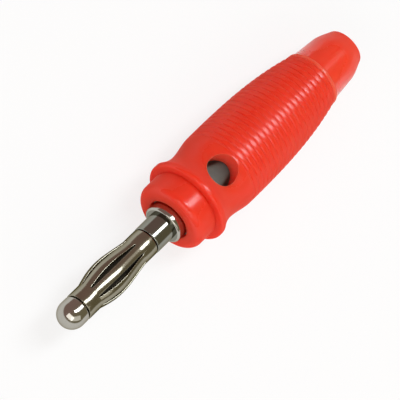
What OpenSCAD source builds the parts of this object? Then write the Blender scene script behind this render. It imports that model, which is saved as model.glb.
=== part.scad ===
// Stackable 4 mm banana plug.
// A turned contact carries a spring cage on its pin and sits in a ribbed grip sleeve.
// X is the plug's axis, with the tip at +X. The origin is the centre of the sleeve's front face,
// which meets the panel when the plug is pushed home. The cross socket runs along Z.

/* [Pin] */
// Diameter of the bare shank behind the spring
shank_d = 4; // [3.8:0.1:4.6]
// Length of the bare shank, from collar to spring
shank_len = 3.1; // [2.4:0.1:6]
// Diameter of the collar in front of the sleeve
collar_d = 5.4; // [4.8:0.1:5.4]
// How far the collar stands out of the sleeve
collar_len = 1.2; // [0.8:0.1:2.4]
// Rounding of the collar's front edge
collar_round = 0.25; // [0.1:0.05:0.4]
// Diameter of the core that carries the spring
core_d = 3.2; // [2.6:0.1:3.4]
// Diameter of the nose
nose_d = 3.9; // [3.7:0.1:4.2]
// Length of the nose, from spring to tip
nose_len = 3.1; // [2.6:0.1:4]

/* [Spring] */
// Overall length of the spring cage
cage_len = 13.2; // [11:0.1:16]
// Length of the plain band at each end of the cage
band_len = 2.2; // [1.4:0.1:3]
// Thickness of the spring sheet
sheet = 0.3; // [0.15:0.05:0.4]
// Number of leaves
leaf_count = 8; // [4:1:10]
// Width of each leaf
leaf_w = 1.4; // [0.9:0.05:1.5]
// How far the leaves bow out beyond the bands
leaf_bow = 0.6; // [0.3:0.02:0.9]
// Width of the cage's open seam
seam_w = 0.2; // [0.1:0.05:0.4]
// Radial clearance between the cage and the core
cage_clear = 0.06; // [0.03:0.01:0.1]
// Gap at each end of the cage
cage_play = 0.16; // [0.05:0.01:0.3]

/* [Barrel] */
// Diameter of the contact's barrel inside the sleeve
barrel_d = 5.7; // [5.7:0.1:6.6]
// How far the barrel reaches behind the sleeve's front face
barrel_len = 22.5; // [20:0.1:25]
// How far the barrel's front shoulder sits inside the sleeve
barrel_sink = 0.5; // [0.4:0.1:1.6]
// Chamfer of the barrel's edges
barrel_edge = 0.1; // [0.05:0.05:0.1]
// Diameter of the cross socket that takes a second plug, through sleeve and barrel alike
socket_d = 4.1; // [4:0.05:4.3]
// Distance of the cross socket's axis behind the front face
socket_at = 7.7; // [7.3:0.1:8.2]
// Diameter of the wire's bore
wire_d = 2; // [1.6:0.1:2.4]
// Depth of the wire's bore
wire_depth = 11; // [8:0.1:12]

/* [Clamp screw] */
// Diameter of the clamp screw
screw_d = 2.5; // [2:0.1:2.6]
// Distance of the screw's axis from the barrel's rear end
screw_at = 3; // [2.4:0.1:4]
// How far the screw's head lies below the barrel's surface, and its point above the wire
screw_sink = 0.1; // [0.05:0.01:0.3]
// Width of the screwdriver slot
slot_w = 0.4; // [0.3:0.05:0.8]
// Depth of the screwdriver slot
slot_depth = 0.6; // [0.4:0.05:0.8]
// Radial clearance of the screw in its hole
screw_clear = 0.04; // [0.02:0.01:0.08]

/* [Sleeve front] */
// Diameter of the front ring
front_d = 9.8; // [9:0.1:10.4]
// Length of the front ring
front_len = 3.5; // [2.4:0.1:4]
// Rounding of the front ring's edge
front_round = 0.95; // [0.3:0.05:1.2]
// Width of the groove between front ring and flange
notch_w = 0.3; // [0.2:0.05:0.6]
// Depth of the groove between front ring and flange
notch_depth = 0.15; // [0.05:0.05:0.4]
// Diameter of the flange
flange_d = 11.8; // [11.4:0.1:14]
// Thickness of the flange's rim
flange_t = 0.7; // [0.6:0.1:1]
// Rounding of the flange's front edge
flange_round = 0.3; // [0.1:0.05:0.5]
// Length of the hollow flare from the rim down to the waist
flare_len = 2.4; // [1.6:0.1:3.2]
// Diameter of the waist between flange and ribs
waist_d = 10.3; // [9.8:0.1:10.4]
// Radial clearance of the sleeve on the barrel
sleeve_clear = 0.06; // [0.03:0.01:0.1]

/* [Sleeve grip] */
// Diameter of the grip where its ribs start
grip_d = 11.2; // [10.5:0.1:11.6]
// Diameter of the grip at its rear end
grip_end_d = 8; // [7.6:0.1:8.6]
// Distance of the first rib behind the front face
ribs_at = 10.3; // [10.2:0.1:12]
// Number of ribs
rib_count = 21; // [14:1:24]
// Distance from rib to rib
rib_pitch = 0.86; // [0.7:0.005:1]
// Depth of the groove between ribs
rib_depth = 0.12; // [0.06:0.02:0.3]

/* [Sleeve tail] */
// Diameter of the raised lip behind the ribs
lip_d = 8.1; // [7.9:0.1:8.8]
// Length of the raised lip
lip_len = 0.5; // [0.4:0.1:1.2]
// Diameter of the tail where it leaves the lip
tail_d = 7.7; // [7.2:0.1:7.8]
// Diameter of the tail where it starts to close
tail_waist_d = 6.9; // [6.4:0.1:7.2]
// Length of the tail's nearly straight part
tail_straight = 4; // [2:0.1:6]
// Length of the tail's closing end
tail_close = 2.7; // [2:0.1:5]
// Diameter of the tail's end
tail_end_d = 5.4; // [5:0.1:6.4]
// Rounding of the tail's end
tail_round = 0.5; // [0.2:0.05:0.6]
// Diameter of the cable's bore
cable_d = 4.2; // [3.4:0.1:4.4]

/* [Hidden] */
$fn = 96;

nickel = [0.78, 0.77, 0.74];
red = [0.86, 0.17, 0.11];

// Length by which cuts run past what they cut
past = 1;
// Steps of a rounded edge, of the nose, of a bowed leaf and of the sleeve's flare and swell
round_steps = 6;
nose_steps = 12;
bow_steps = 14;
flare_steps = 8;
// Exponent of the grip's taper: above 1 it is convex
taper_power = 2.8;
// Exponent that moves a leaf's widest place: above 1 it lies nearer to the tip
bow_skew = 1.27;
// Exponent of a rib's round: above 2 its crest is flatter and its grooves are sharper
rib_power = 2.2;
// Places along a rib, from groove to groove, as shares of the pitch
rib_shares = [0, 0.12, 0.3, 0.7, 0.88];
// Chamfers of the shank's and the nose's edges
shank_edge = 0.15;
nose_edge = 0.25;

shank_end = collar_len + shank_len;
nose_start = shank_end + cage_len + 2 * cage_play;
tip = nose_start + nose_len;

cage_rear = shank_end + cage_play;
cage_front = cage_rear + cage_len;
leaf_len = cage_len - 2 * band_len;
cage_in_r = core_d / 2 + cage_clear;
cage_out_r = cage_in_r + sheet;
cage_reach = cage_out_r + leaf_bow + past;

barrel_r = barrel_d / 2;
screw_x = screw_at - barrel_len;
screw_top = sqrt(pow(barrel_r, 2) - pow(screw_d / 2, 2)) - screw_sink;
screw_point = wire_d / 2 + screw_sink;

sleeve_bore_r = barrel_r + sleeve_clear;
sleeve_bore_end = barrel_len + sleeve_clear;
socket_r = socket_d / 2;

flange_r = flange_d / 2;
waist_r = waist_d / 2;
grip_r = grip_d / 2;
rim_end = front_len + flange_t;
waist_at = rim_end + flare_len;
ribs_len = rib_count * rib_pitch;
ribs_end = ribs_at + ribs_len;
lip_end = ribs_end + lip_len;
tail_waist_at = lip_end + tail_straight;
sleeve_len = tail_waist_at + tail_close;

// Points of an arc about a centre, from one angle to another
function arc(centre, radius, from, to, steps = round_steps) =
    [for (i = [0 : steps]) let (a = from + (to - from) * i / steps) centre + radius * [cos(a), sin(a)]];

// Radius of the flare, at a share of its length
function flare_radius(share) = waist_r + (flange_r - waist_r) * pow(1 - share, 2);

// Radius of the swell from the waist to the ribs, at a share of its length
function swell_radius(share) = waist_r + (grip_r - waist_r) * (1 - cos(180 * share)) / 2;

// Radius of the ribbed grip, without its grooves, at a distance behind the front face
function grip_radius(back) =
    grip_r - (grip_d - grip_end_d) / 2 * pow((back - ribs_at) / ribs_len, taper_power);

// Radius of the cage's outside, at a share of the leaf's length
function bow_radius(share) = cage_out_r + leaf_bow * sin(180 * pow(share, bow_skew));

// Revolves an outline of [x, radius] points about the plug's axis
module turned(outline)
    rotate([0, 90, 0])
        rotate_extrude()
            polygon([for (p = outline) [p[1], p[0]]]);

// Revolves an outline of [distance behind the front face, radius] points
module turned_back(outline)
    turned([for (p = outline) [-p[0], p[1]]]);

// A straight round bar along the plug's axis
module bar(d, from, to)
    translate([from, 0, 0])
        rotate([0, 90, 0])
            cylinder(d = d, h = to - from);

// The bore of the cross socket, through a body of the given radius
module cross_socket(through)
    translate([-socket_at, 0, -through - past])
        cylinder(r = socket_r, h = 2 * (through + past));

// The contact's turned outline, from its rear end to the tip
contact_outline = concat(
    [[-barrel_len, 0],
     [-barrel_len, barrel_r - barrel_edge],
     [barrel_edge - barrel_len, barrel_r],
     [-barrel_sink - barrel_edge, barrel_r],
     [-barrel_sink, barrel_r - barrel_edge],
     [-barrel_sink, collar_d / 2]],
    arc([collar_len - collar_round, collar_d / 2 - collar_round], collar_round, 90, 0),
    [[collar_len, shank_d / 2],
     [shank_end - shank_edge, shank_d / 2],
     [shank_end, shank_d / 2 - shank_edge],
     [shank_end, core_d / 2],
     [nose_start, core_d / 2],
     [nose_start, nose_d / 2 - nose_edge]],
    [[nose_start + nose_edge, nose_d / 2]],
    arc([tip - nose_d / 2, 0], nose_d / 2, 90, 0, nose_steps)
);

module contact_pin()
    color(nickel)
        difference() {
            turned(contact_outline);
            cross_socket(barrel_r);
            bar(wire_d, -barrel_len - past, wire_depth - barrel_len);
            translate([screw_x, 0, 0])
                cylinder(r = screw_d / 2 + screw_clear, h = barrel_r + past);
        }

// The cage's outline, outside from rear to front and inside back again
bow_shares = [for (i = [0 : bow_steps]) i / bow_steps];
cage_outline = concat(
    [[cage_rear, cage_in_r], [cage_rear, cage_out_r]],
    [for (s = bow_shares) [cage_rear + band_len + s * leaf_len, bow_radius(s)]],
    [[cage_front, cage_out_r], [cage_front, cage_in_r]],
    [for (s = bow_shares) [cage_front - band_len - s * leaf_len, bow_radius(s) - sheet]]
);

module spring_cage()
    color(nickel)
        difference() {
            intersection() {
                turned(cage_outline);
                union() {
                    bar(2 * cage_reach, cage_rear, cage_rear + band_len);
                    bar(2 * cage_reach, cage_front - band_len, cage_front);
                    for (i = [0 : leaf_count - 1])
                        rotate([i * 360 / leaf_count, 0, 0])
                            translate([cage_rear, -leaf_w / 2, 0])
                                cube([cage_len, leaf_w, cage_reach]);
                }
            }
            // The open seam lies between two leaves, on the underside
            rotate([180 + 180 / leaf_count, 0, 0])
                translate([cage_rear - past, -seam_w / 2, 0])
                    cube([cage_len + 2 * past, seam_w, cage_reach]);
        }

module clamp_screw()
    color(nickel)
        translate([screw_x, 0, 0])
            difference() {
                translate([0, 0, screw_point])
                    cylinder(d = screw_d, h = screw_top - screw_point);
                translate([-screw_d / 2 - past, -slot_w / 2, screw_top - slot_depth])
                    cube([screw_d + 2 * past, slot_w, slot_depth + past]);
            }

// One rounded rib, whose groove starts at a distance behind the front face
function rib(back) =
    [for (share = rib_shares) let (at = back + share * rib_pitch)
        [at, grip_radius(at) - rib_depth * pow(abs(2 * share - 1), rib_power)]];

// The sleeve's outline, outside from front to tail and then along its bore
sleeve_outline = concat(
    arc([front_round, front_d / 2 - front_round], front_round, 180, 90),
    [[front_len - notch_w, front_d / 2],
     [front_len - notch_w, front_d / 2 - notch_depth],
     [front_len, front_d / 2 - notch_depth]],
    arc([front_len + flange_round, flange_r - flange_round], flange_round, 180, 90),
    [for (i = [0 : flare_steps]) [rim_end + flare_len * i / flare_steps, flare_radius(i / flare_steps)]],
    [for (i = [1 : flare_steps - 1])
        [waist_at + (ribs_at - waist_at) * i / flare_steps, swell_radius(i / flare_steps)]],
    [for (i = [0 : rib_count - 1]) each rib(ribs_at + i * rib_pitch)],
    [[ribs_end, grip_end_d / 2 - rib_depth],
     [ribs_end, lip_d / 2],
     [lip_end, lip_d / 2],
     [lip_end, tail_d / 2],
     [tail_waist_at, tail_waist_d / 2]],
    arc([sleeve_len - tail_round, tail_end_d / 2 - tail_round], tail_round, 45, 0),
    [[sleeve_len, cable_d / 2],
     [sleeve_bore_end, cable_d / 2],
     [sleeve_bore_end, sleeve_bore_r],
     [0, sleeve_bore_r]]
);

module grip_sleeve()
    color(red)
        difference() {
            turned_back(sleeve_outline);
            cross_socket(flange_r);
        }

contact_pin();
spring_cage();
clamp_screw();
grip_sleeve();
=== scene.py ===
"""The looks of a stackable 4 mm banana plug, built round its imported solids.

X is the plug's axis with the tip at +X, and the cross socket runs along Z. The origin is the
centre of the sleeve's front face. Everything is in metres, and most sizes are written times MM.
"""

import math

import bmesh
import bpy
from mathutils import Matrix, Vector


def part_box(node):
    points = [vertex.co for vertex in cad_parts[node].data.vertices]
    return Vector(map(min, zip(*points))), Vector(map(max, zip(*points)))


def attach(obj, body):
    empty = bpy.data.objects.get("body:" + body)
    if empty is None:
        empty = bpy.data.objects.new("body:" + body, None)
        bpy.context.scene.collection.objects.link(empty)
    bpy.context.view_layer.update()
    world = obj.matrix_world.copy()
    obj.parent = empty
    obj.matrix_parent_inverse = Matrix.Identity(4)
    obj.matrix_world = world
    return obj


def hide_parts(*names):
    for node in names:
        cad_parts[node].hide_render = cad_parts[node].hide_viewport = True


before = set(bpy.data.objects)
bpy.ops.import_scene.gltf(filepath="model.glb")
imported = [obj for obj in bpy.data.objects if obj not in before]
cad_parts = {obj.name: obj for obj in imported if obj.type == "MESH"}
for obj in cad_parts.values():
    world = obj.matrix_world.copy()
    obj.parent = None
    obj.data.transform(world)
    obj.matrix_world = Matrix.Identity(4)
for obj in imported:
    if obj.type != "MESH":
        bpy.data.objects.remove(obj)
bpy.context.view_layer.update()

MM = 0.001

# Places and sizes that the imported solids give
contact_low, contact_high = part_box("contact_pin")
cage_low, cage_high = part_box("spring_cage")
screw_low, screw_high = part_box("clamp_screw")
sleeve_low, sleeve_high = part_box("grip_sleeve")

TIP = contact_high.x
BARREL_LEN = -contact_low.x
BARREL_R = contact_high.z
CAGE_REAR = cage_low.x
CAGE_FRONT = cage_high.x
SCREW_X = (screw_low.x + screw_high.x) / 2
SCREW_R = (screw_high.x - screw_low.x) / 2
SCREW_TOP = screw_high.z
SCREW_POINT = screw_low.z
SLEEVE_LEN = -sleeve_low.x
FLANGE_R = sleeve_high.z

# The rounding of small edges, and how far a cutter or a zone of colour reaches past its piece
EDGE = 0.08 * MM
PAST = 1 * MM

# The turned contact
SHANK_R = 2.0 * MM
SHANK_EDGE = 0.15 * MM
COLLAR_R = 2.7 * MM
COLLAR_LEN = 1.2 * MM
COLLAR_ROUND = 0.25 * MM
CORE_R = 1.6 * MM
NOSE_R = 1.95 * MM
NOSE_EDGE = 0.25 * MM
CAGE_CLEAR = 0.06 * MM
CAGE_PLAY = 0.16 * MM
BARREL_SINK = 0.5 * MM
BARREL_EDGE = 0.1 * MM
SOCKET_R = 2.05 * MM
SOCKET_X = -7.7 * MM
WIRE_R = 1.0 * MM
WIRE_DEPTH = 11 * MM

# The clamp screw
SCREW_CLEAR = 0.04 * MM
SLOT_W = 0.4 * MM
SLOT_DEPTH = 0.6 * MM
THREAD_PITCH = 0.2 * MM
THREAD_DEPTH = 0.04 * MM

# The spring cage
SHEET = 0.3 * MM
CAGE_R = CORE_R + CAGE_CLEAR + SHEET
BAND_LEN = 2.2 * MM
LEAF_REAR = CAGE_REAR + BAND_LEN
LEAF_FRONT = CAGE_FRONT - BAND_LEN
LEAF_COUNT = 8
LEAF_PITCH = 2 * math.pi / LEAF_COUNT
LEAF_W = 1.4 * MM
LEAF_BOW = 0.6 * MM
BOW_SKEW = 1.27
LEAF_EDGE = 0.11 * MM
GAP_HALF_W = (CAGE_R * LEAF_PITCH - LEAF_W) / 2
GAP_END = 0.35 * MM
SEAM_W = 0.2 * MM
SEAM_AFTER_LEAF = 4
# Rows of points behind a band's rim, and columns as shares of a leaf's half width
RIM_ROWS = [0, 0.02 * MM, 0.05 * MM, LEAF_EDGE]
HALF_COLUMNS = [0, 0.2, 0.4, 0.6, 0.75, 0.84, 0.88, 0.92, 0.955, 0.98, 1]

# The sleeve, as distances behind its front face and radii
SLEEVE_CLEAR = 0.06 * MM
SLEEVE_BORE_R = BARREL_R + SLEEVE_CLEAR
SLEEVE_BORE_END = BARREL_LEN + SLEEVE_CLEAR
FRONT_R = 4.9 * MM
FRONT_LEN = 3.5 * MM
FRONT_ROUND = 0.95 * MM
NOTCH_W = 0.3 * MM
NOTCH_DEPTH = 0.15 * MM
FLANGE_T = 0.7 * MM
FLANGE_ROUND = 0.3 * MM
FLARE_LEN = 2.4 * MM
WAIST_R = 5.15 * MM
GRIP_R = 5.6 * MM
GRIP_END_R = 4.0 * MM
TAPER_POWER = 2.8
RIBS_AT = 10.3 * MM
RIB_COUNT = 21
RIB_PITCH = 0.86 * MM
RIB_DEPTH = 0.12 * MM
RIBS_END = RIBS_AT + RIB_COUNT * RIB_PITCH
# Shape of a rib from groove to groove: shares of the pitch, and of the depth below its crest
RIB_SHAPE = [(0, 1), (0.04, 0.9), (0.08, 0.62), (0.13, 0.26), (0.18, 0.06), (0.24, 0), (0.5, 0)]
RIB_SHAPE += [(0.78, 0), (0.84, 0.08), (0.9, 0.4), (0.95, 0.82)]
LIP_R = 4.05 * MM
LIP_LEN = 0.5 * MM
LIP_ROUND = 0.15 * MM
LIP_END = RIBS_END + LIP_LEN
TAIL_R = 3.85 * MM
TAIL_WAIST_R = 3.45 * MM
TAIL_STRAIGHT = 4.0 * MM
TAIL_POWER = 1.3
TAIL_END_R = 2.7 * MM
TAIL_ROUND = 0.5 * MM
CABLE_R = 2.1 * MM
# Angle at which the tail's round end starts, in degrees
TAIL_ROUND_FROM = 60

# Fineness of the meshes: points round a turned form, and steps along a curve
PIN_POINTS = 160
SLEEVE_POINTS = 176
SOCKET_POINTS = 96
SMALL_POINTS = 48
EDGE_STEPS = 6
ROUND_STEPS = 8
FRONT_STEPS = 14
NOSE_STEPS = 28
FLARE_STEPS = 24
SWELL_STEPS = 16
TAIL_STEPS = 12
CLOSE_STEPS = 8
GAP_END_STEPS = 6
LEAF_STEPS = 48
SAME_POINT = 1e-8
ON_AXIS = 1e-9
SHARP_ANGLE = math.radians(35)

# Finishes, with painted shade and light: a noise scale is in cycles a metre for each axis, a bump is its
# strength and its height
NOISE_DETAIL = 3.0
# How strongly the patchy painted shade on the contact, and the tail's own tone, show across the cloud
# noise
PATCHY_RANGE = (0.7, 1.0)
METAL_CLOUD = (500, 500, 500)
MARKS_RANGE = (0.7, 1.3)
MARKS_BUMP = (0.12, 0.004 * MM)
# Painted shade on the contact's core under the spring and on the barrel's front shoulder
PAINTED_SHADE_COLOUR = (0.12, 0.10, 0.07)
# Painted dark reflection along the shank, darker than the rest of the same plating
SHANK_PAINTED_REFLECTION = (0.24, 0.243, 0.21)
# Painted shade on the cross socket's metal wall
SOCKET_PAINTED_SHADE = (0.145, 0.137, 0.133)
SOCKET_DULLNESS = 0.7
DULL_ROUGHNESS = 0.4
RED_CLOUD = (260, 260, 260)
RED_GRAIN = (4000, 4000, 4000)
RED_BUMP = (0.15, 0.006 * MM)
RED_ROUGHNESS = (0.16, 0.24)
RED_DARK = (0.80, 0.036, 0.013)
RED_BRIGHT = (0.87, 0.052, 0.020)
# Painted light on the lip, standing in for the light its rounded rim catches
LIP_PAINTED_LIGHT = (0.92, 0.11, 0.06)
# Painted light on the cross hole's wall, which faces away from the lamps
HOLE_PAINTED_LIGHT = (0.95, 0.09, 0.05)
TAIL_RED = (0.923, 0.057, 0.0206)
TAIL_COAT = 0.6
# How far the plastic turns from the eye as its gloss softens, and the roughness that this adds
SOFT_FROM = 0.1
SOFT_TO = 0.55
SOFT_ROUGHNESS = 0.5
# The colour sockets of a mix node
MIX_FIRST = 6
MIX_SECOND = 7
MIX_RESULT = 2

# Where the camera stands: how the axis lies in the picture, its tilt to the lens, and the turn about it
VIEW_ROLL = math.radians(44.4)
VIEW_TILT = math.radians(29)
VIEW_TURN = math.radians(3.5)
VIEW_DISTANCE = 1.5
VIEW_WIDTH = 49.7 * MM
ORIGIN_IN_PICTURE = (168, 220)
PICTURE_SIZE = 400
SENSOR_MM = 36
CLIP_RANGE = (0.01, 20)

# The floor and the lamps
FLOOR_HALF = 3.0
FLOOR_COLOUR = (0.95, 0.95, 0.95, 1)
FLOOR_ROUGHNESS = 0.9
FLOOR_GLOW_SHARE = 0.8
LAMP_DISTANCE = 0.5
WHITE = (1, 1, 1)
COOL_WHITE = (0.88, 0.94, 1.0)

# The room, where the wall's top and the ceiling's blend are parts of a direction of length 1
WALL_TOP = 0.15
CEILING_BLEND = 0.6
CEILING_RED = (0.32, 0.215, 0.19)
CEILING_OLIVE = (0.255, 0.22, 0.135)


def arc(centre, radius, start, end, steps=EDGE_STEPS):
    """Points of an arc in an outline, from one angle to another, in degrees."""
    angles = [math.radians(start + (end - start) * i / steps) for i in range(steps + 1)]
    return [(centre[0] + radius * math.cos(a), centre[1] + radius * math.sin(a)) for a in angles]


def curve(at, length, radius, rise, steps, shape):
    """Points of an outline along a stretch, whose radius gains the rise as the shape shares it out."""
    shares = [k / steps for k in range(steps + 1)]
    return [(at + length * share, radius + rise * shape(share)) for share in shares]


def new_object(name, vertices, faces):
    """An object whose faces all point outwards, with points that fall together made one."""
    mesh = bpy.data.meshes.new(name)
    mesh.from_pydata(vertices, [], faces)
    form = bmesh.new()
    form.from_mesh(mesh)
    bmesh.ops.remove_doubles(form, verts=form.verts, dist=SAME_POINT)
    bmesh.ops.recalc_face_normals(form, faces=form.faces)
    form.to_mesh(mesh)
    form.free()
    made = bpy.data.objects.new(name, mesh)
    bpy.context.scene.collection.objects.link(made)
    return made


def lathe(name, outline, segments):
    """Revolves a closed outline of (x, radius) points about the X axis."""
    vertices, rings = [], []
    for x, radius in outline:
        count = 1 if radius < ON_AXIS else segments
        turns = [2 * math.pi * k / segments for k in range(count)]
        rings.append(range(len(vertices), len(vertices) + count))
        vertices += [(x, -radius * math.sin(a), radius * math.cos(a)) for a in turns]
    faces = []
    for ring, following in zip(rings, rings[1:] + rings[:1]):
        if len(ring) == len(following) == 1:
            continue
        for k in range(segments):
            corners = [ring[k % len(ring)], ring[(k + 1) % len(ring)]]
            corners += [following[(k + 1) % len(following)], following[k % len(following)]]
            faces.append(list(dict.fromkeys(corners)))
    return new_object(name, vertices, faces)


def rod(name, low, high, radius, segments):
    """A plain rod along X that cuts a bore."""
    return lathe(name, [(low, 0), (low, radius), (high, radius), (high, 0)], segments)


def block(name, low, high):
    """A plain block between two corners that cuts a slot."""
    (x_low, y_low, z_low), (x_high, y_high, z_high) = low, high
    corners = [(x, y, z) for z in (z_low, z_high) for x in (x_low, x_high) for y in (y_low, y_high)]
    sides = [(0, 1, 3, 2), (4, 5, 7, 6), (0, 1, 5, 4), (2, 3, 7, 6), (0, 2, 6, 4), (1, 3, 7, 5)]
    return new_object(name, corners, sides)


def stand_up(piece, x):
    """Turns a revolved piece's axis from X to Z, at a place along the plug."""
    piece.data.transform(Matrix.Translation((x, 0, 0)) @ Matrix.Rotation(-math.pi / 2, 4, "Y"))
    return piece


def cut(piece, cutters):
    """Takes the cutters out of a piece and deletes them."""
    for cutter in cutters:
        boolean = piece.modifiers.new("cut", "BOOLEAN")
        boolean.operation = "DIFFERENCE"
        boolean.solver = "EXACT"
        boolean.object = cutter
    seen = piece.evaluated_get(bpy.context.evaluated_depsgraph_get())
    whole = piece.data
    piece.data = bpy.data.meshes.new_from_object(seen)
    piece.data.name = piece.name
    piece.modifiers.clear()
    bpy.data.meshes.remove(whole)
    for cutter in cutters:
        bpy.data.meshes.remove(cutter.data)


def dress(piece, body, node, material):
    """Shades a piece, gives it its material and body, and lets it stand for its CAD node."""
    piece.data.shade_smooth()
    piece.data.set_sharp_from_angle(angle=SHARP_ANGLE)
    piece.data.materials.clear()
    piece.data.materials.append(material)
    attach(piece, body)
    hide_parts(node)


def new_material(name):
    """A material with its node tree and its shader node."""
    made = bpy.data.materials.new(name)
    made.use_nodes = True
    return made, made.node_tree, made.node_tree.nodes["Principled BSDF"]


def feed(tree, node, inputs):
    """Sets each named input of a node to a value, or links it to an output."""
    for key, value in inputs.items():
        if isinstance(value, bpy.types.NodeSocket):
            tree.links.new(value, node.inputs[key])
        else:
            node.inputs[key].default_value = value


def add(tree, kind, inputs=None, **settings):
    """A new node with its settings and inputs."""
    node = tree.nodes.new(kind)
    for key, value in settings.items():
        setattr(node, key, value)
    feed(tree, node, inputs or {})
    return node


def position(tree, scale, offset=(0, 0, 0)):
    """The place on the object, in its own frame, scaled for each axis and then offset."""
    coordinates = add(tree, "ShaderNodeTexCoord").outputs["Object"]
    inputs = {"Vector": coordinates, "Location": offset, "Scale": scale}
    return add(tree, "ShaderNodeMapping", inputs).outputs["Vector"]


def calculate(tree, operation, first, second):
    """A number made from two others."""
    return add(tree, "ShaderNodeMath", {0: first, 1: second}, operation=operation).outputs[0]


def reach(tree, axes, x=0.0):
    """How far a place lies from the point x on the plug's axis, along the axes that are marked 1."""
    apart = position(tree, axes, (-x, 0, 0))
    return add(tree, "ShaderNodeVectorMath", {0: apart}, operation="LENGTH").outputs["Value"]


def along(tree, low, high):
    """A factor that is 1 between two places along the plug's axis."""
    return calculate(tree, "LESS_THAN", reach(tree, (1, 0, 0), (low + high) / 2), (high - low) / 2)


def noise(tree, scale):
    """A noise factor from the place on the object."""
    inputs = {"Vector": position(tree, scale), "Scale": 1.0, "Detail": NOISE_DETAIL}
    return add(tree, "ShaderNodeTexNoise", inputs).outputs["Fac"]


def between(tree, factor, low, high):
    """A number that goes from low to high as a factor goes from 0 to 1."""
    inputs = {"Value": factor, "To Min": low, "To Max": high}
    return add(tree, "ShaderNodeMapRange", inputs).outputs["Result"]


def ease(tree, value, low, high, most=1.0):
    """A number that rises gently from 0 to its most as a value goes from low to high."""
    inputs = {"Value": value, "From Min": low, "From Max": high, "To Max": most}
    return add(tree, "ShaderNodeMapRange", inputs, interpolation_type="SMOOTHSTEP").outputs["Result"]


def blend(tree, factor, first, second):
    """A colour that goes from the first to the second as a factor goes from 0 to 1."""
    mix = add(tree, "ShaderNodeMix", {"Factor": factor}, data_type="RGBA")
    for socket, colour in ((MIX_FIRST, first), (MIX_SECOND, second)):
        linked = isinstance(colour, bpy.types.NodeSocket)
        feed(tree, mix, {socket: colour if linked else (*colour, 1)})
    return mix.outputs[MIX_RESULT]


def bump(tree, height, strength, distance):
    """A bumped normal from a height."""
    inputs = {"Height": height, "Strength": strength, "Distance": distance}
    return add(tree, "ShaderNodeBump", inputs).outputs["Normal"]


def painted_shade_zone(tree):
    """A factor that is 1 where shade is painted and the metal is duller: on the contact's core under the
    spring, and on the barrel's front shoulder.
    """
    core = calculate(tree, "LESS_THAN", reach(tree, (0, 1, 1)), CORE_R + EDGE / 2)
    shoulder = along(tree, -BARREL_SINK - BARREL_EDGE - EDGE, EDGE - BARREL_SINK)
    under = calculate(tree, "MULTIPLY", core, along(tree, CAGE_REAR, CAGE_FRONT))
    return calculate(tree, "MAXIMUM", under, shoulder)


def in_socket(tree):
    """A factor that is 1 on the wall of the cross socket."""
    return calculate(tree, "LESS_THAN", reach(tree, (1, 1, 0), SOCKET_X), SOCKET_R + EDGE / 2)


def contact_painted_shade(tree, cloud, colour, finish):
    """The contact's colour and roughness, with painted shade and duller metal under the spring, on the
    shoulder and in the socket, and a painted dark reflection on the shank.
    """
    patchy = between(tree, cloud, *PATCHY_RANGE)
    # Painted shade, patchy, on the core under the spring and on the front shoulder
    shaded_places = painted_shade_zone(tree)
    # The shank, where a dark reflection is painted
    shank = along(tree, COLLAR_LEN, CAGE_REAR)
    # The cross socket's wall, where shade is painted and the metal is duller
    socket = in_socket(tree)
    for factor, shade in ((shaded_places, PAINTED_SHADE_COLOUR), (shank, SHANK_PAINTED_REFLECTION), (socket, SOCKET_PAINTED_SHADE)):
        colour = blend(tree, calculate(tree, "MULTIPLY", factor, patchy), colour, shade)
    dull = calculate(tree, "MAXIMUM", shaded_places, calculate(tree, "MULTIPLY", socket, SOCKET_DULLNESS))
    finish = calculate(tree, "MAXIMUM", finish, calculate(tree, "MULTIPLY", dull, DULL_ROUGHNESS))
    return colour, finish


def metal(name, dark, bright, edge, roughness, grain, shade_and_dullness=None):
    """Bright metal with fine tool marks, drawn out as the grain's noise scale says.

    Its colour drifts from dark to bright, and the edge colour tints it where it turns from the eye.
    """
    made, tree, shader = new_material(name)
    marks = noise(tree, grain)
    cloud = noise(tree, METAL_CLOUD)
    colour = blend(tree, cloud, dark, bright)
    finish = between(tree, marks, *[roughness * share for share in MARKS_RANGE])
    # Painted shade and duller metal, for a piece that asks for them
    if shade_and_dullness:
        colour, finish = shade_and_dullness(tree, cloud, colour, finish)
    feed(tree, shader, {
        "Base Color": colour,
        "Roughness": finish,
        "Normal": bump(tree, marks, *MARKS_BUMP),
        "Metallic": 1,
        "Specular Tint": (*edge, 1),
    })
    return made


def plastic_colour(tree, tail):
    """Red that drifts a little, with painted light at the lip and on the cross hole's wall, and its own
    tone on the tail.
    """
    cloud = noise(tree, RED_CLOUD)
    colour = blend(tree, cloud, RED_DARK, RED_BRIGHT)
    # The lip, where a highlight is painted
    lip = along(tree, -LIP_END, -RIBS_END)
    tail_share = calculate(tree, "MULTIPLY", tail, between(tree, cloud, *PATCHY_RANGE))
    # Painted light on the cross hole's wall, and the tail's own patchy tone
    for factor, shade in ((lip, LIP_PAINTED_LIGHT), (in_socket(tree), HOLE_PAINTED_LIGHT), (tail_share, TAIL_RED)):
        colour = blend(tree, factor, colour, shade)
    return colour


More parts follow.
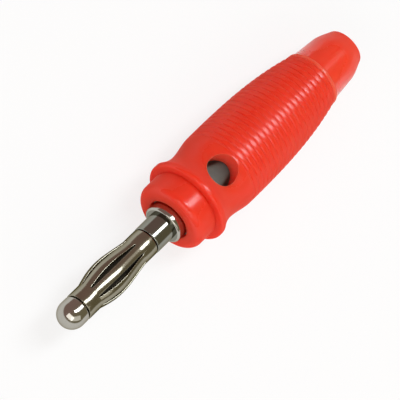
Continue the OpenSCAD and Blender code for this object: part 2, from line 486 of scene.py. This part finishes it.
def red_plastic():
    """Glossy soft plastic, with light scattered just below its skin.

    Its gloss softens where it turns from the eye. The tail has a clear coat, and keeps its gloss near
    the lip. Both fade towards the tail's end.
    """
    made, tree, shader = new_material("red_plastic")
    grain = noise(tree, RED_GRAIN)
    tail = along(tree, -SLEEVE_LEN - PAST, -LIP_END)
    from_end = calculate(tree, "DIVIDE", reach(tree, (1, 0, 0), -SLEEVE_LEN), SLEEVE_LEN - LIP_END)
    glossy = calculate(tree, "MULTIPLY", tail, from_end)
    facing = add(tree, "ShaderNodeLayerWeight", {"Blend": 0.5}).outputs["Facing"]
    soft = ease(tree, facing, SOFT_FROM, SOFT_TO, SOFT_ROUGHNESS)
    soft = calculate(tree, "MULTIPLY", soft, calculate(tree, "SUBTRACT", 1.0, glossy))
    feed(tree, shader, {
        "Base Color": plastic_colour(tree, tail),
        "Roughness": calculate(tree, "ADD", between(tree, grain, *RED_ROUGHNESS), soft),
        "Normal": bump(tree, grain, *RED_BUMP),
        "Coat Weight": calculate(tree, "MULTIPLY", glossy, TAIL_COAT),
        "Coat Roughness": 0.06,
        "Specular IOR Level": 0.4,
        "Subsurface Weight": 0.8,
        "Subsurface Radius": (1.0, 0.25, 0.15),
        "Subsurface Scale": 2 * MM,
    })
    return made


def contact_outline():
    """The contact's outline, from the end of its barrel to the tip."""
    shank_end = CAGE_REAR - CAGE_PLAY
    nose_start = CAGE_FRONT + CAGE_PLAY
    outline = [(-BARREL_LEN, 0)]
    outline += [(-BARREL_LEN, BARREL_R - BARREL_EDGE), (BARREL_EDGE - BARREL_LEN, BARREL_R)]
    outline += [(-BARREL_SINK - BARREL_EDGE, BARREL_R), (-BARREL_SINK, BARREL_R - BARREL_EDGE)]
    outline += [(-BARREL_SINK, COLLAR_R)]
    outline += arc((COLLAR_LEN - COLLAR_ROUND, COLLAR_R - COLLAR_ROUND), COLLAR_ROUND, 90, 0, ROUND_STEPS)
    outline += [(COLLAR_LEN, SHANK_R)]
    outline += arc((shank_end - SHANK_EDGE, SHANK_R - SHANK_EDGE), SHANK_EDGE, 90, 0)
    outline += [(shank_end, CORE_R), (nose_start, CORE_R)]
    outline += arc((nose_start + NOSE_EDGE, NOSE_R - NOSE_EDGE), NOSE_EDGE, 180, 90)
    outline += arc((TIP - NOSE_R, 0), NOSE_R, 90, 0, NOSE_STEPS)[:-1]
    return outline + [(TIP, 0)]


def contact_pin():
    """The turned contact, with its cross socket, its wire bore and the screw's hole."""
    piece = lathe("contact_turned", contact_outline(), PIN_POINTS)
    out = 2 * BARREL_R
    socket = rod("socket_cutter", -out, out, SOCKET_R, SOCKET_POINTS)
    tapped = rod("tapped_cutter", 0, out, SCREW_R + SCREW_CLEAR, SMALL_POINTS)
    wire = rod("wire_cutter", -BARREL_LEN - PAST, WIRE_DEPTH - BARREL_LEN, WIRE_R, SMALL_POINTS)
    cut(piece, [stand_up(socket, SOCKET_X), wire, stand_up(tapped, SCREW_X)])
    material = metal(
        "nickel_turned",
        dark=(0.40, 0.385, 0.34),
        bright=(0.48, 0.465, 0.42),
        edge=(0.5, 0.47, 0.4),
        roughness=0.12,
        grain=(9000, 300, 300),
        # painted shade and duller metal on the contact
        shade_and_dullness=contact_painted_shade,
    )
    dress(piece, "contact", "contact_pin", material)


def leaf_bow(x):
    """How far a leaf stands out from the bands at a place along the axis."""
    share = min(max((x - LEAF_REAR) / (LEAF_FRONT - LEAF_REAR), 0), 1)
    return LEAF_BOW * math.sin(math.pi * share ** BOW_SKEW)


def half_gap(x):
    """Half the width of the gap between two leaves, which has round ends."""
    depth = min(max(min(x - LEAF_REAR, LEAF_FRONT - x) / GAP_END, 0), 1)
    return GAP_HALF_W * math.sqrt(1 - (1 - depth) ** 2)


def side_gaps(leaf, x):
    """The half gaps on both sides of a leaf, where the seam keeps one side open at the bands too."""
    seams = (leaf == SEAM_AFTER_LEAF + 1, leaf == SEAM_AFTER_LEAF)
    return [max(half_gap(x), SEAM_W / 2 if seam else 0) for seam in seams]


def edge_drop(distance):
    """How far the rounded edge of the sheet lies below its face, at a distance from that edge."""
    inside = min(distance / LEAF_EDGE, 1)
    return LEAF_EDGE * (1 - math.sqrt(1 - (1 - inside) ** 2))


def leaf_rows():
    """Places along the axis for the rows of points, from the rear rim to the front one."""
    ends = [GAP_END * k / GAP_END_STEPS for k in range(GAP_END_STEPS)]
    stretch = LEAF_FRONT - LEAF_REAR - 2 * GAP_END
    rows = [CAGE_REAR + d for d in RIM_ROWS] + [CAGE_REAR + BAND_LEN / 2]
    rows += [LEAF_REAR + d for d in ends]
    rows += [LEAF_REAR + GAP_END + stretch * k / LEAF_STEPS for k in range(LEAF_STEPS + 1)]
    rows += [LEAF_FRONT - d for d in reversed(ends)]
    return rows + [CAGE_FRONT - BAND_LEN / 2] + [CAGE_FRONT - d for d in reversed(RIM_ROWS)]


def leaf_points(leaf, rows, columns):
    """The points of a leaf and its share of the bands, on the outer and the inner face by turns."""
    turn = leaf * LEAF_PITCH
    outwards = Vector((0, -math.sin(turn), math.cos(turn)))
    sideways = Vector((0, -math.cos(turn), -math.sin(turn)))
    points = []
    for x in rows:
        gaps = side_gaps(leaf, x)
        rim_drop = edge_drop(min(x - CAGE_REAR, CAGE_FRONT - x))
        for share in columns:
            gap = gaps[share > 0]
            half_width = CAGE_R * LEAF_PITCH / 2 - gap
            drop = edge_drop((1 - abs(share)) * half_width) * min(gap / GAP_HALF_W, 1)
            angle = share * half_width / CAGE_R
            for radius in (CAGE_R - max(drop, rim_drop), CAGE_R - SHEET):
                out = leaf_bow(x) + radius * math.cos(angle)
                points.append(Vector((x, 0, 0)) + outwards * out + sideways * radius * math.sin(angle))
    return points


def leaf_faces(leaf, rows, columns, start):
    """The faces of a leaf, whose points begin at start: the sheet's two faces, its sides and ends."""
    last = len(columns) - 1

    def corner(row, column, inner):
        return start + 2 * (row * len(columns) + column) + inner

    faces = []
    for row in range(len(rows) - 1):
        for column in range(last):
            for inner in (0, 1):
                faces.append([corner(row, column, inner), corner(row + 1, column, inner),
                              corner(row + 1, column + 1, inner), corner(row, column + 1, inner)])
        gaps = [max(pair) for pair in zip(side_gaps(leaf, rows[row]), side_gaps(leaf, rows[row + 1]))]
        for gap, column in zip(gaps, (0, last)):
            if gap > 0:
                faces.append([corner(row, column, 0), corner(row + 1, column, 0),
                              corner(row + 1, column, 1), corner(row, column, 1)])
    for row in (0, len(rows) - 1):
        for column in range(last):
            faces.append([corner(row, column, 0), corner(row, column + 1, 0),
                          corner(row, column + 1, 1), corner(row, column, 1)])
    return faces


def spring_cage():
    """The rolled spring: two bands joined by bowed leaves, with an open seam."""
    rows = leaf_rows()
    columns = [-share for share in reversed(HALF_COLUMNS[1:])] + HALF_COLUMNS
    vertices, faces = [], []
    for leaf in range(LEAF_COUNT):
        faces += leaf_faces(leaf, rows, columns, len(vertices))
        vertices += leaf_points(leaf, rows, columns)
    piece = new_object("spring_leaves", vertices, faces)
    material = metal(
        "nickel_spring",
        dark=(0.28, 0.263, 0.20),
        bright=(0.375, 0.35, 0.28),
        edge=(0.12, 0.11, 0.06),
        roughness=0.15,
        grain=(200, 6000, 6000),
    )
    dress(piece, "cage", "spring_cage", material)


def clamp_screw():
    """The slotted grub screw in the barrel, with its thread as fine rings."""
    turns = int((SCREW_TOP - SCREW_POINT - 2 * EDGE) / THREAD_PITCH)
    outline = [(SCREW_POINT, 0), (SCREW_POINT, SCREW_R - 2 * EDGE)]
    for turn in range(turns):
        root = SCREW_POINT + EDGE + turn * THREAD_PITCH
        outline += [(root, SCREW_R - THREAD_DEPTH), (root + THREAD_PITCH / 2, SCREW_R)]
    outline += [(SCREW_TOP, SCREW_R - EDGE), (SCREW_TOP, 0)]
    piece = stand_up(lathe("screw_slotted", outline, SMALL_POINTS), SCREW_X)
    out = 2 * SCREW_R
    slot_low = (SCREW_X - out, -SLOT_W / 2, SCREW_TOP - SLOT_DEPTH)
    slot_high = (SCREW_X + out, SLOT_W / 2, SCREW_TOP + PAST)
    cut(piece, [block("slot_cutter", slot_low, slot_high)])
    material = metal(
        "screw_steel",
        dark=(0.50, 0.50, 0.50),
        bright=(0.62, 0.62, 0.61),
        edge=(0.6, 0.6, 0.6),
        roughness=0.28,
        grain=(3000, 3000, 3000),
    )
    dress(piece, "screw", "clamp_screw", material)


def front_outline():
    """The sleeve from its bore to the ribs: the front ring, the notch, the flange and the waist."""
    notch_from = FRONT_LEN - NOTCH_W
    flange_end = FRONT_LEN + FLANGE_T
    waist_at = flange_end + FLARE_LEN
    outline = arc((EDGE, SLEEVE_BORE_R + EDGE), EDGE, 270, 180)
    outline += arc((FRONT_ROUND, FRONT_R - FRONT_ROUND), FRONT_ROUND, 180, 90, FRONT_STEPS)
    outline += arc((notch_from - EDGE, FRONT_R - EDGE), EDGE, 90, 0)
    outline += [(notch_from, FRONT_R - NOTCH_DEPTH), (FRONT_LEN, FRONT_R - NOTCH_DEPTH)]
    outline += arc((FRONT_LEN + FLANGE_ROUND, FLANGE_R - FLANGE_ROUND), FLANGE_ROUND, 180, 90, ROUND_STEPS)
    outline += curve(flange_end, FLARE_LEN, WAIST_R, FLANGE_R - WAIST_R, FLARE_STEPS,
                     lambda share: (1 - share) ** 2)
    outline += curve(waist_at, RIBS_AT - waist_at, WAIST_R, GRIP_R - WAIST_R, SWELL_STEPS,
                     lambda share: (1 - math.cos(math.pi * share)) / 2)[1:-1]
    return outline


def grip_radius(back):
    """Radius of the ribbed grip, without its grooves, at a distance behind the front face."""
    share = (back - RIBS_AT) / (RIBS_END - RIBS_AT)
    return GRIP_R - (GRIP_R - GRIP_END_R) * share ** TAPER_POWER


def rib_outline():
    """The ribs of the grip, whose crests step down with its taper."""
    points = []
    for rib in range(RIB_COUNT):
        crest = grip_radius(RIBS_AT + (rib + 0.5) * RIB_PITCH)
        for share, dip in RIB_SHAPE:
            points.append((RIBS_AT + (rib + share) * RIB_PITCH, crest - dip * RIB_DEPTH))
    return points


def tail_outline():
    """The sleeve behind its ribs: the lip, the tail with its rounded end, and the cable entry."""
    straight_end = LIP_END + TAIL_STRAIGHT
    round_at = SLEEVE_LEN - TAIL_ROUND
    outline = [(RIBS_END, GRIP_END_R - RIB_DEPTH)]
    outline += arc((RIBS_END + LIP_ROUND, LIP_R - LIP_ROUND), LIP_ROUND, 180, 90)
    outline += arc((LIP_END - LIP_ROUND, LIP_R - LIP_ROUND), LIP_ROUND, 90, 0)
    outline += curve(LIP_END, TAIL_STRAIGHT, TAIL_R, TAIL_WAIST_R - TAIL_R,
                     TAIL_STEPS, lambda share: share)
    outline += curve(straight_end, round_at - straight_end, TAIL_WAIST_R, TAIL_END_R - TAIL_WAIST_R,
                     CLOSE_STEPS, lambda share: share ** TAIL_POWER)[1:-1]
    outline += arc((round_at, TAIL_END_R - TAIL_ROUND), TAIL_ROUND, TAIL_ROUND_FROM, 0, ROUND_STEPS)
    outline += arc((SLEEVE_LEN - EDGE, CABLE_R + EDGE), EDGE, 0, -90)
    return outline + [(SLEEVE_BORE_END, CABLE_R), (SLEEVE_BORE_END, SLEEVE_BORE_R)]


def grip_sleeve():
    """The moulded sleeve, with the cross socket through it."""
    outline = front_outline() + rib_outline() + tail_outline()
    piece = lathe("sleeve_moulded", [(-back, radius) for back, radius in outline], SLEEVE_POINTS)
    out = FLANGE_R + PAST
    hole = rod("hole_cutter", -out, out, SOCKET_R, SOCKET_POINTS)
    cut(piece, [stand_up(hole, SOCKET_X)])
    dress(piece, "sleeve", "grip_sleeve", red_plastic())


def camera():
    """The camera, turned so that the plug's axis lies in the picture as the photograph shows it."""
    across, rise = math.cos(VIEW_ROLL), math.sin(VIEW_ROLL)
    forward, away = math.cos(VIEW_TILT), math.sin(VIEW_TILT)
    # The plug's axes, as the camera sees them
    x_axis = Vector((-forward * across, -forward * rise, away))
    facing = Vector((away * across, away * rise, forward))
    sideways = Vector((rise, -across, 0))
    z_axis = math.cos(VIEW_TURN) * facing + math.sin(VIEW_TURN) * sideways
    turn = Matrix((x_axis, z_axis.cross(x_axis), z_axis))
    pixel = VIEW_WIDTH / PICTURE_SIZE
    middle = PICTURE_SIZE / 2
    shift = Vector((middle - ORIGIN_IN_PICTURE[0], ORIGIN_IN_PICTURE[1] - middle, 0)) * pixel
    lens = bpy.data.cameras.new("camera")
    lens.sensor_width = SENSOR_MM
    lens.lens = SENSOR_MM * VIEW_DISTANCE / VIEW_WIDTH
    lens.clip_start, lens.clip_end = CLIP_RANGE
    made = bpy.data.objects.new("camera", lens)
    made.matrix_world = turn.to_4x4()
    made.location = turn @ (shift + Vector((0, 0, VIEW_DISTANCE)))
    bpy.context.scene.collection.objects.link(made)
    bpy.context.scene.camera = made


def floor():
    """A plain white floor that keeps the plug's shadow, and glows for the camera and in reflections."""
    half, level = FLOOR_HALF, -FLANGE_R
    corners = [(-half, -half, level), (half, -half, level), (half, half, level), (-half, half, level)]
    made = new_object("floor", corners, [(0, 1, 2, 3)])
    material, tree, shader = new_material("white_floor")
    feed(tree, shader, {"Base Color": FLOOR_COLOUR, "Roughness": FLOOR_ROUGHNESS})
    rays = add(tree, "ShaderNodeLightPath").outputs
    seen = calculate(tree, "MAXIMUM", rays["Is Camera Ray"], rays["Is Glossy Ray"])
    seen = calculate(tree, "MAXIMUM", seen, rays["Is Transmission Ray"])
    share = calculate(tree, "MULTIPLY", seen, FLOOR_GLOW_SHARE)
    glow = add(tree, "ShaderNodeEmission", {"Color": (*WHITE, 1), "Strength": 1.0}).outputs["Emission"]
    inputs = {0: share, 1: shader.outputs["BSDF"], 2: glow}
    mix = add(tree, "ShaderNodeMixShader", inputs).outputs["Shader"]
    tree.links.new(mix, tree.nodes["Material Output"].inputs["Surface"])
    made.data.materials.append(material)


def surroundings():
    """A pale room near the horizon under a dim ceiling, wine-red on one side and olive on the other."""
    world = bpy.data.worlds.new("room")
    world.use_nodes = True
    bpy.context.scene.world = world
    tree = world.node_tree
    direction = add(tree, "ShaderNodeTexCoord").outputs["Generated"]
    towards = add(tree, "ShaderNodeSeparateXYZ", {0: direction}).outputs
    side = ease(tree, towards["Y"], -CEILING_BLEND, CEILING_BLEND)
    ceiling = blend(tree, side, CEILING_RED, CEILING_OLIVE)
    colour = blend(tree, ease(tree, towards["Z"], 0.0, WALL_TOP), WHITE, ceiling)
    tree.links.new(colour, tree.nodes["Background"].inputs["Color"])


def softbox(name, direction, size, radiance, colour=WHITE):
    """A soft lamp of even brightness that faces the plug from a direction."""
    lamp = bpy.data.lights.new(name, "AREA")
    lamp.shape = "RECTANGLE"
    lamp.size, lamp.size_y = size
    lamp.energy = radiance * math.pi * size[0] * size[1]
    lamp.color = colour
    made = bpy.data.objects.new(name, lamp)
    towards = Vector(direction).normalized()
    made.location = towards * LAMP_DISTANCE
    made.rotation_euler = towards.to_track_quat("Z", "Y").to_euler()
    bpy.context.scene.collection.objects.link(made)


def lamps():
    """A bright cool lamp above the plug, a faint one past its tail, and one each at its side and tip."""
    softbox("key_light", direction=(-0.276, 0.08, 0.958), size=(0.13, 0.364), radiance=9.6,
            colour=COOL_WHITE)
    softbox("rear_light", direction=(-0.743, 0.08, 0.669), size=(0.13, 0.2), radiance=0.5)
    softbox("side_light", direction=(0.35, 0.65, 0.58), size=(0.7, 0.3), radiance=0.75)
    softbox("front_light", direction=(0.8, 0.1, 0.6), size=(0.5, 0.3), radiance=1.7)


contact_pin()
spring_cage()
clamp_screw()
grip_sleeve()
camera()
floor()
surroundings()
lamps()
bpy.context.scene.view_settings.view_transform = "Standard"
